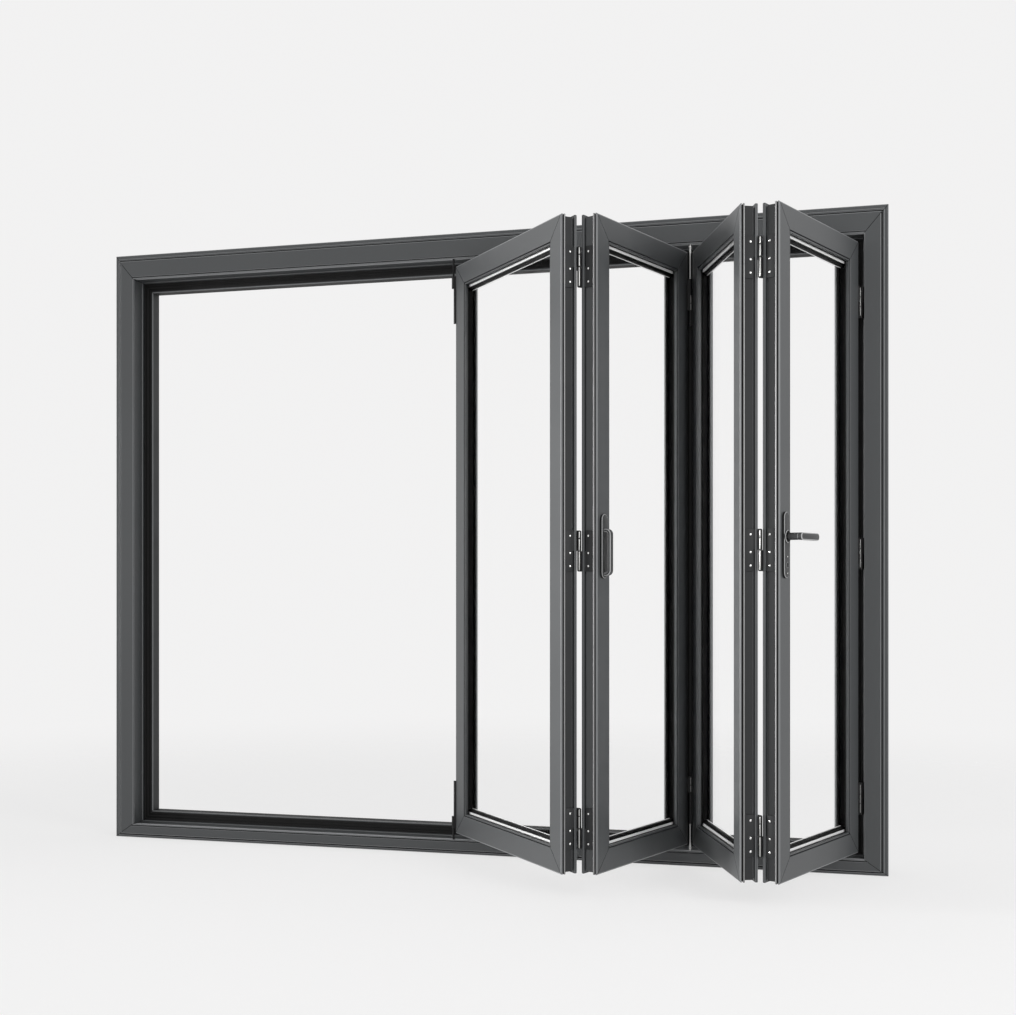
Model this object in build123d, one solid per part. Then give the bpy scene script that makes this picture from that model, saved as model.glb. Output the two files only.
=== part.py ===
from build123d import *
import math
import os

# Bifold door with a wide access leaf and three equal leaves, shown folded open.
# X runs along the frame, Y from the front plane to the back, Z up. The origin
# is the middle of the sill's base. All sizes are in millimetres.

# Frame
WIDTH = 2700          # over the jambs
HEIGHT = 2100         # sill base to head top
DEPTH = 120           # front plane to back plane
JAMB_FACE = 74        # visible width of a jamb, seen from the front
HEAD_FACE = 88
SILL_FACE = 50
FLANGE = 18           # outer strip, set back from the main face
SILL_FLANGE = 9       # the same strip on the low sill
FLANGE_SET = 7
GROOVE = 4            # width of the shadow groove beside the flange
GROOVE_DEEP = 8
REVEAL = 73           # front plane to the stop
STOP = 38             # how far the stop stands into the opening
FLANGE_STEP = 1.5     # the flange's outer part is set back by this much more
FLANGE_OUTER = 0.6    # that part's share of the flange's width
SEAL = 3              # thickness of the stop seal
SEAL_EDGE = 5         # bare metal on either side of the seal
SEAL_GROOVES = (11, 22)
SEAL_GROOVE = 3       # width of a groove in the seal
SEAL_GROOVE_DEEP = 1.6
BEAD = 5              # length of the small bead along the reveal, in front of the seal
BEAD_OUT = 2.5
POCKET = 4            # depth of the shadow groove between that bead and the stop
POCKET_FRONT = 3      # and its length in front of the seal
QUIRK = 4             # small groove round a jamb's inner edge, in line with the slot's front lip
QUIRK_DEEP = 3
CHAMFER = 1.5
FIT = 0.3             # clearance where one piece lies beside another

# Track in the head and in the sill
TRACK_Y = 8           # pivot line behind the front plane
SLOT_WALL = 3.5       # front lip of the slot
SLOT_BACK = 14.5      # back edge of the slot
CAVITY_BACK = 44
CAVITY_HIGH = 24
FLOOR = 10            # thickness between the cavity and the opening
LINER = 1.8           # sheet of the running track

# Leaves
LEAF_SHARE = 0.226881  # width of leaves 2, 3 and 4, as a share of the way between the jambs
LEAF_THICK = 52
LEAF_FACE = 68        # visible width of a stile or a rail
GAP_TOP = 24
GAP_BOTTOM = 20
FOLD_RIGHT = 0.892    # how far the right pair is folded, as a share of a full fold
FOLD_LEFT = 0.905     # how far the left pair is folded, as a share of a full fold
HALF_GAP = 5          # pivot to leaf edge
PROUD = 5             # pivot to leaf face
JAMB_GAP = 10         # end pivot to jamb
ARRIS = 3.5           # chamfer of the leaf face's outer edge
EDGE_GROOVE = 5       # leaf face to the shadow groove in its edge
EDGE_RIDGE = 9.5      # leaf face to the ridge behind that groove
EDGE_GROOVE_DEEP = 5
EDGE_CHANNEL = 6      # depth of the hardware channel in the leaf's edge
CHANNEL_FRONT = 14.5
CHANNEL_BACK = 44
BACK_GROOVE = 4       # width, and extra depth, of the groove along the channel's back
NIB = 5               # glazing nib, beyond a shadow groove at the face's inner edge
NIB_SET = 2           # how far the nib is set back from the face
NIB_GROOVE = 2        # width of that groove
NIB_GROOVE_DEEP = 6

# Glazing
GLASS = 24
GLASS_FRONT = 14      # leaf face to glass
GLASS_BITE = 16       # how far the glass sits behind the leaf face's inner edge
REBATE = 20           # leaf face's inner edge to the rebate's floor
GASKET = 2
GASKET_LIP = 1.5      # how far the gasket shows past the metal
BEAD_LIP = 3          # how far the glazing bead at the back shows past the nib
BEAD_NOSE = 4         # flat on the bead's edge, before its slope

# Hinges and pivots
BARREL = 12           # hinge knuckle diameter
PIN = 6
ROD = 7               # pivot rod diameter
PLAY = 0.1            # pin or rod to its bore, on the radius
SEAM = 0.4            # between the two knuckles of a hinge
HINGE = 120           # length of an apex hinge
TRACK_HINGE = 100     # length of a hinge on the track line
SLEEVE = 52           # how far a knuckle runs on, to guide the pivot rod
END_HINGE = 160       # length of the free end's pivot bracket
END_KNUCKLE = 40      # length of that bracket's knuckle
APEX_TOP = 152        # leaf top to the top apex hinge's centre
APEX_BOTTOM = 131
TRACK_TOP = 190       # leaf top to the top track hinge's centre
TRACK_BOTTOM = 170
END_TOP = 115         # leaf top to the top end bracket's centre
END_BOTTOM = 98
MIDDLE_DROP = 20      # middle hinges sit this far below mid height
PLATE = 3.5           # thickness of a hinge's plate and neck
JAMB_PLATE_FRONT = 12  # pivot line to the jamb's hinge plate
JAMB_PLATE = 30       # width of that plate

# Carriages in the head, guides in the sill
WHEEL = 18
WHEEL_WIDE = 10
WHEEL_APART = 40
CARRIAGE = 68         # length
CARRIAGE_HIGH = 18
GUIDE_HIGH = 14
CARRIAGE_BACK = 24    # front plane to the carriage's back
CARRIAGE_LIFT = 2     # carriage to the track below it

# Handles
HANDLE_PLATE = 34     # width
HANDLE_PLATE_HIGH = 188
HANDLE_PLATE_THICK = 7
HANDLE_Z = 1023       # plate centre above the sill base
PULL_HIGH = 136
PULL_OUT = 30         # leaf face to the outside of the grip
PULL_GRIP = 9         # thickness of the grip
PULL_WIDE = 18
PULL_BEND = 16        # outer radius of the grip's bends
PULL_DROP = 18        # grip centre below the plate centre
LEVER_Z = 1047
LEVER_BORE = 16.1
LEVER_SHAFT = 16
ROSE = 36
ROSE_THICK = 4
LEVER_OUT = 56        # leaf face to the outside of the grip
LEVER_LONG = 112      # axis to the grip's end
LEVER_HIGH = 21
LEVER_THICK = 15
LEVER_END = 9         # radius at the grip's end
CYLINDER_Z = 966
CYLINDER = 17
CYLINDER_OUT = 1.5

# Derived places
Y0 = -DEPTH / 2
X_LEFT = -WIDTH / 2 + JAMB_FACE
X_RIGHT = WIDTH / 2 - JAMB_FACE
LINE = Y0 + TRACK_Y
STEP = 2 * HALF_GAP
LEAF = LEAF_SHARE * (X_RIGHT - X_LEFT)
LEAF_1 = X_RIGHT - X_LEFT - 2 * JAMB_GAP - 3 * (LEAF + STEP) - STEP
LEAF_Z = SILL_FACE + GAP_BOTTOM
LEAF_HIGH = HEIGHT - HEAD_FACE - GAP_TOP - LEAF_Z
SPREAD = 2 * PROUD + LEAF_THICK
MIDDLE = LEAF_HIGH / 2 - MIDDLE_DROP

os.makedirs("parts", exist_ok=True)


def save(name, *solids):
    export_step(Compound(children=list(solids)) if len(solids) > 1 else solids[0], f"parts/{name}.step")


def poly(points, origin, x_dir, y_dir, length):
    """A closed outline, drawn in the plane of x_dir and y_dir and pulled along their normal."""
    plane = Plane(origin=origin, x_dir=x_dir, z_dir=Vector(*x_dir).cross(Vector(*y_dir)))
    return extrude(plane * make_face(Polyline(*points, close=True)), amount=length)


def slab(points, low, high):
    """A plan outline pulled up from one height to another."""
    return poly(points, (0, 0, low), (1, 0, 0), (0, 1, 0), high - low)


def block(x0, x1, y0, y1, z0, z1):
    return slab([(x0, y0), (x1, y0), (x1, y1), (x0, y1)], z0, z1)


def rod(x, y, z0, z1, diameter):
    return Pos(x, y, z0) * Cylinder(diameter / 2, z1 - z0, align=(Align.CENTER, Align.CENTER, Align.MIN))


# Frame members: one profile, pulled along each side and cut to its mitres
def frame_profile(face, slotted):
    """Outline as (distance in from the outer edge, distance back from the front plane)."""
    c = CHAMFER
    flange = SILL_FLANGE if face == SILL_FACE else FLANGE
    start = flange + GROOVE
    outer, step = FLANGE_SET + FLANGE_STEP, flange * FLANGE_OUTER
    points = [(0, outer + c), (c, outer), (step, outer), (step + FLANGE_STEP, FLANGE_SET)]
    points += [(flange, FLANGE_SET), (flange, GROOVE_DEEP + FLANGE_SET)]
    points += [(start, GROOVE_DEEP + FLANGE_SET), (start, c), (start + c, 0), (face - c, 0), (face, c)]
    if slotted:
        inner, top = face - FLOOR, face - FLOOR - CAVITY_HIGH
        points += [(face, SLOT_WALL), (top, SLOT_WALL), (top, CAVITY_BACK)]
        points += [(inner, CAVITY_BACK), (inner, SLOT_BACK), (face, SLOT_BACK)]
    else:
        points += [(face, SLOT_WALL), (face - QUIRK_DEEP, SLOT_WALL)]
        points += [(face - QUIRK_DEEP, SLOT_WALL + QUIRK), (face, SLOT_WALL + QUIRK)]
    pocket = REVEAL - SEAL - POCKET_FRONT
    bead = pocket - BEAD
    points += [(face, bead), (face + BEAD_OUT, bead + 1), (face + BEAD_OUT, pocket - 1), (face, pocket)]
    points += [(face - POCKET, pocket), (face - POCKET, REVEAL)]
    points += [(face + STOP - c, REVEAL), (face + STOP, REVEAL + c)]
    points += [(face + STOP, DEPTH - c), (face + STOP - c, DEPTH), (0, DEPTH)]
    return points


def opening_corners(extra):
    """Corners of the opening, moved in by extra on every side: left, right, low, high."""
    return X_LEFT + extra, X_RIGHT - extra, SILL_FACE + extra, HEIGHT - HEAD_FACE - extra


def frame_region(side):
    """The part of the front view that a member fills, bounded by its mitre lines."""
    outer = (-WIDTH / 2, WIDTH / 2, 0, HEIGHT)
    rings = [outer, opening_corners(0), opening_corners(STOP)]
    low_left = [(r[0], r[2]) for r in rings]
    low_right = [(r[1], r[2]) for r in rings]
    high_left = [(r[0], r[3]) for r in rings]
    high_right = [(r[1], r[3]) for r in rings]
    first, second = {"left": (low_left, high_left), "right": (low_right, high_right),
                     "head": (high_left, high_right), "sill": (low_left, low_right)}[side]
    outline = first + second[::-1]
    return poly(outline, (0, DEPTH, 0), (1, 0, 0), (0, 0, 1), 2 * DEPTH)


frame_sides = {
    "left": ((-WIDTH / 2, Y0, HEIGHT), (1, 0, 0), (0, 1, 0), HEIGHT, JAMB_FACE, False),
    "right": ((WIDTH / 2, Y0, HEIGHT), (-1, 0, 0), (0, 1, 0), HEIGHT, JAMB_FACE, False),
    "head": ((-WIDTH / 2, Y0, HEIGHT), (0, 0, -1), (0, 1, 0), WIDTH, HEAD_FACE, True),
    "sill": ((-WIDTH / 2, Y0, 0), (0, 0, 1), (0, 1, 0), WIDTH, SILL_FACE, True),
}


def along(side, outline):
    """An outline in frame profile coordinates, pulled over the whole length of one side."""
    origin, x_dir, y_dir, length, _, _ = frame_sides[side]
    body = poly(outline, origin, x_dir, y_dir, length)
    normal = Vector(*x_dir).cross(Vector(*y_dir))
    wrong = (normal.Z > 0 and origin[2] > 0) or normal.X < 0
    return Pos(*(normal * -length)) * body if wrong else body


for side in frame_sides:
    face, slotted = frame_sides[side][4:]
    member = along(side, frame_profile(face, slotted)) & frame_region(side)
    save({"left": "frame_jamb_left", "right": "frame_jamb_right",
          "head": "frame_head", "sill": "frame_sill"}[side], member)

# Running track: a sheet on the cavity's floor, turned down to line the slot's back edge
for side in ("head", "sill"):
    face = frame_sides[side][4]
    inner = face - FLOOR
    outline = [(inner - LINER, SLOT_BACK - LINER), (inner - LINER, CAVITY_BACK - FIT)]
    outline += [(inner, CAVITY_BACK - FIT)]
    outline += [(inner, SLOT_BACK), (face, SLOT_BACK), (face, SLOT_BACK - LINER)]
    strip = along(side, outline) & block(X_LEFT, X_RIGHT, Y0, -Y0, 0, HEIGHT)
    save(f"{side}_track", strip)

# Stop seal: a grooved rubber strip on the front of the stop, all round
def opening_ring(outer, inner, y0, y1):
    """A band round the opening, between two distances in from its corners."""
    a, b = opening_corners(outer), opening_corners(inner)
    return block(*a[:2], y0, y1, *a[2:]) - block(*b[:2], y0 - 1, y1 + 1, *b[2:])


seal_face = Y0 + REVEAL - SEAL
seal = opening_ring(SEAL_EDGE, STOP - SEAL_EDGE, seal_face, Y0 + REVEAL)
for groove in SEAL_GROOVES:
    seal -= opening_ring(groove, groove + SEAL_GROOVE, seal_face - 1, seal_face + SEAL_GROOVE_DEEP)
save("frame_seal", seal)


# Fold geometry
def fold_angle(width, reach):
    """Turn of a leaf whose two pivots are `reach` apart in depth."""
    arm, lean = math.hypot(width + STEP, SPREAD), math.atan2(SPREAD, width + STEP)
    return math.asin(reach / arm) + lean


def far_apart(width, angle):
    """Distance along the track between the two pivots of a leaf."""
    return (width + STEP) * math.cos(angle) + SPREAD * math.sin(angle)


# A pair reaches as far out as its shorter leaf allows
right_reach = FOLD_RIGHT * math.hypot(LEAF + STEP, SPREAD)
left_reach = FOLD_LEFT * math.hypot(min(LEAF, LEAF_1) + STEP, SPREAD)
reach = {4: right_reach, 3: right_reach, 2: left_reach, 1: left_reach}
width = {1: LEAF_1, 2: LEAF, 3: LEAF, 4: LEAF}
angle = {n: fold_angle(width[n], reach[n]) for n in width}
pivot = {4: X_RIGHT - JAMB_GAP}
for n in (3, 2, 1, 0):
    pivot[n] = pivot[n + 1] - far_apart(width[n + 1], angle[n + 1])
# pivot[n] is the X of the joint at the right of leaf n; pivot[0] is the free end


def joint_xy(n):
    return pivot[n], LINE - (reach[4] if n == 3 else reach[1] if n == 1 else 0)


def leaf_place(n):
    """Where leaf n's left front corner goes, and its turn."""
    even = n % 2 == 0
    turn = angle[n] if even else -angle[n]
    x, y = joint_xy(n)
    right = (width[n] + HALF_GAP, -PROUD if even else LEAF_THICK + PROUD)
    dx = right[0] * math.cos(turn) - right[1] * math.sin(turn)
    dy = right[0] * math.sin(turn) + right[1] * math.cos(turn)
    return Pos(x - dx, y - dy, LEAF_Z) * Rot(0, 0, math.degrees(turn))


# Where the knuckles of each joint lie, in heights from the leaf's foot
apex_z = (APEX_BOTTOM, MIDDLE, LEAF_HIGH - APEX_TOP)
track_z = (TRACK_BOTTOM, MIDDLE, LEAF_HIGH - TRACK_TOP)
end_z = (END_BOTTOM, LEAF_HIGH - END_TOP)
joint_z = {1: apex_z, 2: (track_z[0], track_z[2]), 3: apex_z, 4: track_z}


def hinge_spans(n):
    """Hinges at joint n: the low and high end of the whole, its lower knuckle and its upper one."""
    spans = []
    half = (TRACK_HINGE if n % 2 == 0 else HINGE) / 2
    for z in joint_z[n]:
        up = SLEEVE if n == 2 and z > MIDDLE else 0
        down = SLEEVE if n == 2 and z < MIDDLE else 0
        low, high = z - half - down, z + half + up
        spans.append(((low, high), (low, z - SEAM / 2), (z + SEAM / 2, high)))
    return spans


def neck_spans(n, right):
    """Low and high ends of the necks that leave leaf n at one of its edges."""
    if n == 1 and not right:
        return [(z - END_HINGE / 2, z + END_HINGE / 2) for z in end_z]
    return [span[2] for span in hinge_spans(n)] if right else [span[1] for span in hinge_spans(n - 1)]


# Leaf members, in the leaf's own place: X from its left edge, Y from its face, Z from its foot
T = LEAF_THICK
DEEP = EDGE_CHANNEL + BACK_GROOVE
SIGHT = LEAF_FACE + NIB_GROOVE + NIB
leaf_outline = [
    (ARRIS, 0), (LEAF_FACE - 1, 0), (LEAF_FACE, 1), (LEAF_FACE, NIB_GROOVE_DEEP),
    (SIGHT - NIB, NIB_GROOVE_DEEP), (SIGHT - NIB, NIB_SET), (SIGHT, NIB_SET), (SIGHT, GLASS_FRONT - GASKET),
    (LEAF_FACE - REBATE, GLASS_FRONT - GASKET), (LEAF_FACE - REBATE, T), (1, T), (0, T - 1),
    (0, CHANNEL_BACK), (DEEP, CHANNEL_BACK), (DEEP, CHANNEL_BACK - BACK_GROOVE),
    (EDGE_CHANNEL, CHANNEL_BACK - BACK_GROOVE), (EDGE_CHANNEL, CHANNEL_FRONT),
    (1, CHANNEL_FRONT), (0, CHANNEL_FRONT - 1), (0, EDGE_RIDGE + 1), (1, EDGE_RIDGE),
    (EDGE_GROOVE_DEEP, EDGE_RIDGE), (EDGE_GROOVE_DEEP, EDGE_GROOVE), (0, EDGE_GROOVE), (0, ARRIS)]


def at_end(n, right, points):
    """Points as (distance out from the leaf's edge, depth) to the leaf's own plan."""
    return [((width[n] + s) if right else -s, t) for s, t in points]


def neck_slot(n, right, low, high):
    """The slot that lets a hinge's neck leave the channel, under the skin of the leaf's edge."""
    front = (n % 2 == 0) == right
    near, far = (-1, CHANNEL_FRONT) if front else (CHANNEL_BACK, T + 1)
    low_side, high_side = -EDGE_CHANNEL - FIT, PLATE - EDGE_CHANNEL + FIT
    cut = [(low_side, near), (high_side, near), (high_side, far), (low_side, far)]
    return slab(at_end(n, right, cut), low - FIT, high + FIT)


def leaf_member(n, side):
    w, h, m = width[n], LEAF_HIGH, SIGHT
    places = {"left": ((0, 0, 0), (1, 0, 0), h, [(0, 0), (0, h), (m, h - m), (m, m)]),
              "right": ((w, 0, 0), (-1, 0, 0), h, [(w, 0), (w, h), (w - m, h - m), (w - m, m)]),
              "top": ((0, 0, h), (0, 0, -1), w, [(0, h), (w, h), (w - m, h - m), (m, h - m)]),
              "bottom": ((0, 0, 0), (0, 0, 1), w, [(0, 0), (w, 0), (w - m, m), (m, m)])}
    origin, x_dir, length, region = places[side]
    body = poly(leaf_outline, origin, x_dir, (0, 1, 0), length)
    normal = Vector(*x_dir).cross(Vector(0, 1, 0))
    if normal.Z < 0 or normal.X < 0:
        body = Pos(*(normal * -length)) * body
    body &= poly(region, (0, 2 * T, 0), (1, 0, 0), (0, 0, 1), 4 * T)
    if side in ("left", "right"):
        for span in neck_spans(n, side == "right"):
            body -= neck_slot(n, side == "right", *span)
    return body


def ring(w, h, outer, inner, y0, y1):
    hole = block(inner, w - inner, y0 - 1, y1 + 1, inner, h - inner)
    return block(outer, w - outer, y0, y1, outer, h - outer) - hole


member_names = {"left": "stile_left", "right": "stile_right", "top": "rail_top", "bottom": "rail_bottom"}
gaskets = []
for n in (1, 2, 3, 4):
    place, w, h = leaf_place(n), width[n], LEAF_HIGH
    for side, name in member_names.items():
        save(f"leaf{n}_{name}", place * leaf_member(n, side))
    edge = LEAF_FACE - GLASS_BITE
    back = GLASS_FRONT + GLASS
    save(f"leaf{n}_glass", place * block(edge, w - edge, GLASS_FRONT, back, edge, h - edge))
    bead_sight = SIGHT + BEAD_LIP
    gaskets += [place * ring(w, h, edge, SIGHT + GASKET_LIP, GLASS_FRONT - GASKET, GLASS_FRONT),
                place * ring(w, h, edge, bead_sight + GASKET_LIP, back, back + GASKET)]
    floor, t0 = LEAF_FACE - REBATE, back + GASKET
    bead = [(floor, t0), (bead_sight, t0), (bead_sight, t0 + BEAD_NOSE), (LEAF_FACE - 1, T), (floor, T)]
    beads = []
    for up in (False, True):
        points = [(t, h - a if up else a) for a, t in bead]
        beads.append(place * poly(points, (floor, 0, 0), (0, 1, 0), (0, 0, 1), w - 2 * floor))
    low = bead_sight + FIT
    for right in (False, True):
        points = [(w - a if right else a, t) for a, t in bead]
        beads.append(place * slab(points, low, h - low))
    save(f"leaf{n}_beads", *beads)
save("leaf_gaskets", *gaskets)


# Hinges: a plate in the edge channel, with a neck through a slot in the leaf's edge to the knuckle
def flap(n, right, plate, neck, knuckle, bore=0, pin=None):
    """Half a hinge on leaf n. plate, neck, knuckle and pin are each a low and a high end."""
    front = (n % 2 == 0) == right
    e, t0, t1 = EDGE_CHANNEL, CHANNEL_FRONT + FIT, CHANNEL_BACK - BACK_GROOVE - FIT
    start, face, axis = (t0, 0, -PROUD) if front else (t1, T, T + PROUD)
    body = slab(at_end(n, right, [(-e, t0), (PLATE - e, t0), (PLATE - e, t1), (-e, t1)]), *plate)
    web = [(-e, start), (PLATE - e, start), (PLATE - e, face), (HALF_GAP, axis),
           (HALF_GAP - BARREL / 2, axis), (-e, face)]
    body += slab(at_end(n, right, web), *neck)
    (x, y), = at_end(n, right, [(HALF_GAP, axis)])
    body += rod(x, y, *knuckle, BARREL)
    if bore:
        body -= rod(x, y, knuckle[0] - 1, knuckle[1] + 1, bore + 2 * PLAY)
    if pin:
        body += rod(x, y, *pin, PIN)
    return leaf_place(n) * body


# The lower knuckles at the apex joints carry the pins; at joint 2 the pivot rods are the pins
for n in (1, 2, 3):
    halves = []
    for whole, lower, upper in hinge_spans(n):
        if n == 2:
            halves += [flap(n, True, whole, upper, upper, ROD), flap(n + 1, False, whole, lower, lower, ROD)]
        else:
            halves.append(flap(n, True, whole, upper, upper, PIN))
            halves.append(flap(n + 1, False, whole, lower, lower, 0, whole))
    save(f"hinges_{n}_{n + 1}", *halves)

# Leaf 4 hangs on the right jamb, on hinges with closed knuckles
x, y = joint_xy(4)
halves = []
for whole, lower, upper in hinge_spans(4):
    halves.append(flap(4, True, whole, upper, upper))
    near = y + JAMB_PLATE_FRONT
    low, high = LEAF_Z + lower[0], LEAF_Z + lower[1]
    body = block(X_RIGHT - PLATE, X_RIGHT, near, near + JAMB_PLATE, low, LEAF_Z + whole[1])
    body += slab([(X_RIGHT, near), (X_RIGHT, near + PLATE), (x, y + BARREL / 2), (x, y)], low, high)
    halves.append(body + rod(x, y, low, high, BARREL))
save("hinges_4_jamb", *halves)

# Free end of leaf 1: brackets with a knuckle at the end nearer the track
ends = []
for z in end_z:
    low, high = z - END_HINGE / 2, z + END_HINGE / 2
    knuckle = (high - END_KNUCKLE, high) if z > MIDDLE else (low, low + END_KNUCKLE)
    ends.append(flap(1, False, (low, high), (low, high), knuckle, ROD))
save("end_brackets", *ends)

# Pivot rods, from their knuckles into the track, with a carriage in the head and a guide in the sill
rods, bodies, wheels = [], [], []
head_floor = HEIGHT - HEAD_FACE + FLOOR + LINER
sill_roof = SILL_FACE - FLOOR - LINER
y = LINE
front, back = Y0 + SLOT_WALL + FIT, Y0 + CARRIAGE_BACK
rod_spans = {0: (END_BOTTOM - END_HINGE / 2 + END_KNUCKLE, end_z[1] + END_HINGE / 2 - END_KNUCKLE),
             2: (hinge_spans(2)[0][0][1], hinge_spans(2)[1][0][0])}
for n, (bottom_rod, top_rod) in rod_spans.items():
    x = pivot[n]
    foot = head_floor + CARRIAGE_LIFT
    carriage = block(x - CARRIAGE / 2, x + CARRIAGE / 2, front, back, foot, foot + CARRIAGE_HIGH)
    bodies.append(carriage - rod(x, y, foot - 1, foot + CARRIAGE_HIGH + 1, ROD + 2 * PLAY))
    rods.append(rod(x, y, LEAF_Z + top_rod, foot + CARRIAGE_HIGH, ROD))
    for side in (-1, 1):
        centre = Pos(x + side * WHEEL_APART / 2, back + FIT, head_floor + WHEEL / 2 + PLAY)
        disc = Cylinder(WHEEL / 2, WHEEL_WIDE, align=(Align.CENTER, Align.CENTER, Align.MIN))
        wheels.append(centre * Rot(-90, 0, 0) * disc)
    top = sill_roof - CARRIAGE_LIFT
    guide = block(x - CARRIAGE / 2, x + CARRIAGE / 2, front, back, top - GUIDE_HIGH, top)
    bodies.append(guide - rod(x, y, top - GUIDE_HIGH - 1, top + 1, ROD + 2 * PLAY))
    rods.append(rod(x, y, top - GUIDE_HIGH, LEAF_Z + bottom_rod, ROD))
save("pivot_rods", *rods)
save("track_carriages", *bodies)
save("carriage_wheels", *wheels)


# Handles, in their leaf's own place, at the middle of its left stile
def stadium(x, z, wide, high, y0, y1):
    outline = make_face(Plane.XZ * SlotOverall(high, wide, rotation=90))
    return Pos(x, y1, z) * extrude(outline, amount=y1 - y0)


def across(x, z, y0, y1, diameter):
    """A round bar along the leaf's depth."""
    bar = Cylinder(diameter / 2, y1 - y0, align=(Align.CENTER, Align.CENTER, Align.MIN))
    return Pos(x, y0, z) * Rot(-90, 0, 0) * bar


MID = LEAF_FACE / 2
plate_z = HANDLE_Z - LEAF_Z
lever_z = LEVER_Z - LEAF_Z
cylinder_z = CYLINDER_Z - LEAF_Z
pull = stadium(MID, plate_z, HANDLE_PLATE, HANDLE_PLATE_HIGH, -HANDLE_PLATE_THICK, 0)
save("pull_plate", leaf_place(2) * pull)

# The grip is the front half of a rounded ring that stands on the plate
outer = RectangleRounded(2 * PULL_OUT, PULL_HIGH, PULL_BEND)
inner = RectangleRounded(2 * (PULL_OUT - PULL_GRIP), PULL_HIGH - 2 * PULL_GRIP, PULL_BEND - PULL_GRIP)
grip_plane = Plane(origin=(MID - PULL_WIDE / 2, 0, plate_z - PULL_DROP), x_dir=(0, 1, 0), z_dir=(1, 0, 0))
bow = extrude(grip_plane * (outer - inner), amount=PULL_WIDE)
bow &= block(0, LEAF_FACE, -PULL_OUT - 1, -HANDLE_PLATE_THICK, plate_z - PULL_HIGH, plate_z + PULL_HIGH)
save("pull_grip", leaf_place(2) * bow)

front = -HANDLE_PLATE_THICK - ROSE_THICK
lever_plate = stadium(MID, plate_z, HANDLE_PLATE, HANDLE_PLATE_HIGH, -HANDLE_PLATE_THICK, 0)
lever_plate += across(MID, lever_z, front, -HANDLE_PLATE_THICK, ROSE)
lever_plate -= across(MID, lever_z, front - 1, 1, LEVER_BORE)
save("lever_plate", leaf_place(4) * lever_plate)
cylinder = across(MID, cylinder_z, -HANDLE_PLATE_THICK - CYLINDER_OUT, -HANDLE_PLATE_THICK, CYLINDER)
save("lock_cylinder", leaf_place(4) * cylinder)

shaft = across(MID, lever_z, -LEVER_OUT + LEVER_THICK / 2, -FIT, LEVER_SHAFT)
collar = across(MID, lever_z, -LEVER_OUT + LEVER_THICK, front - 1, LEVER_HIGH)
grip_y = (-LEVER_OUT, -LEVER_OUT + LEVER_THICK)
grip = block(MID, MID + LEVER_LONG, *grip_y, lever_z - LEVER_HIGH / 2, lever_z + LEVER_HIGH / 2)
grip = fillet(grip.edges().filter_by(Axis.Y).sort_by(Axis.X)[-2:], LEVER_END)
grip += across(MID, lever_z, *grip_y, LEVER_HIGH)
save("lever_handle", leaf_place(4) * (shaft + collar + grip))

print("widths", width, "angles", {n: round(math.degrees(a), 2) for n, a in angle.items()})
print("joints", {n: [round(v, 2) for v in joint_xy(n)] for n in pivot})
axis = leaf_place(4) * Pos(MID, 0, lever_z)
print("lever at", axis.position, "along", (-math.sin(angle[4]), math.cos(angle[4])))
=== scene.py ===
"""Bifold door: coated profiles, double glazing, hinges, pivots, handles and a small studio round them."""
import math

import bpy
from bpy.props import FloatProperty, FloatVectorProperty, PointerProperty
from mathutils import Matrix, Vector


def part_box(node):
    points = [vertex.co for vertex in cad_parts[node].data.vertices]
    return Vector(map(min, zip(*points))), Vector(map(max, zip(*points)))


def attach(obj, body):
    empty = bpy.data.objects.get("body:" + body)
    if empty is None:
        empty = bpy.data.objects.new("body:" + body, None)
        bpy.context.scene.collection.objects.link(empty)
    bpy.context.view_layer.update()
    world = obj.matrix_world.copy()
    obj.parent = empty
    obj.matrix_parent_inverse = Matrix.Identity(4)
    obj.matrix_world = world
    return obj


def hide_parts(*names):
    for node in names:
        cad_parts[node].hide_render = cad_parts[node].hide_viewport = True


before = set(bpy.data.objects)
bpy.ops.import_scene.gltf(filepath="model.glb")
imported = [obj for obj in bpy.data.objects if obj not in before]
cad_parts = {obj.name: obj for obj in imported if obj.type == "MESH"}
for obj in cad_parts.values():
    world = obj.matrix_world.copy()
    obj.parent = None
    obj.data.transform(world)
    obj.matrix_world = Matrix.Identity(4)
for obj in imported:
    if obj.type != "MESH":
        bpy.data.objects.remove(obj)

bl_info = {
    "name": "Bifold door",
    "version": (1, 0, 0),
    "blender": (4, 5, 0),
    "location": "3D View > Sidebar > Door",
    "description": "Dresses a folded glazed door in coated profiles, glass, hinges and handles",
    "category": "Add Mesh",
}

MM = 0.001
LEAVES = (1, 2, 3, 4)
SIDES = ("stile_left", "stile_right", "rail_top", "rail_bottom")
FRAME_MEMBERS = ("frame_head", "frame_sill", "frame_jamb_left", "frame_jamb_right")
X_AXIS = Vector((1, 0, 0))


# Sizes and colours that a user would change

def length(name, description, default, low, high):
    return FloatProperty(
        name=name, description=description, default=default, min=low, max=high, unit="LENGTH")


def amount(name, description, default, high=1):
    return FloatProperty(name=name, description=description, default=default, min=0, max=high)


def colour(name, description, default):
    return FloatVectorProperty(
        name=name, description=description, default=default, min=0, max=1, subtype="COLOR")


class ProfileSettings(bpy.types.PropertyGroup):
    edge_round: length(
        "Edge rounding", "Radius on the edges of the coated profiles", 1.1 * MM, 0.1 * MM, 2 * MM)
    coat_colour: colour("Coat colour", "Colour of the powder coat", (0.060, 0.0635, 0.066))
    coat_roughness: amount("Coat roughness", "How satin the powder coat is", 0.40)


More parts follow.
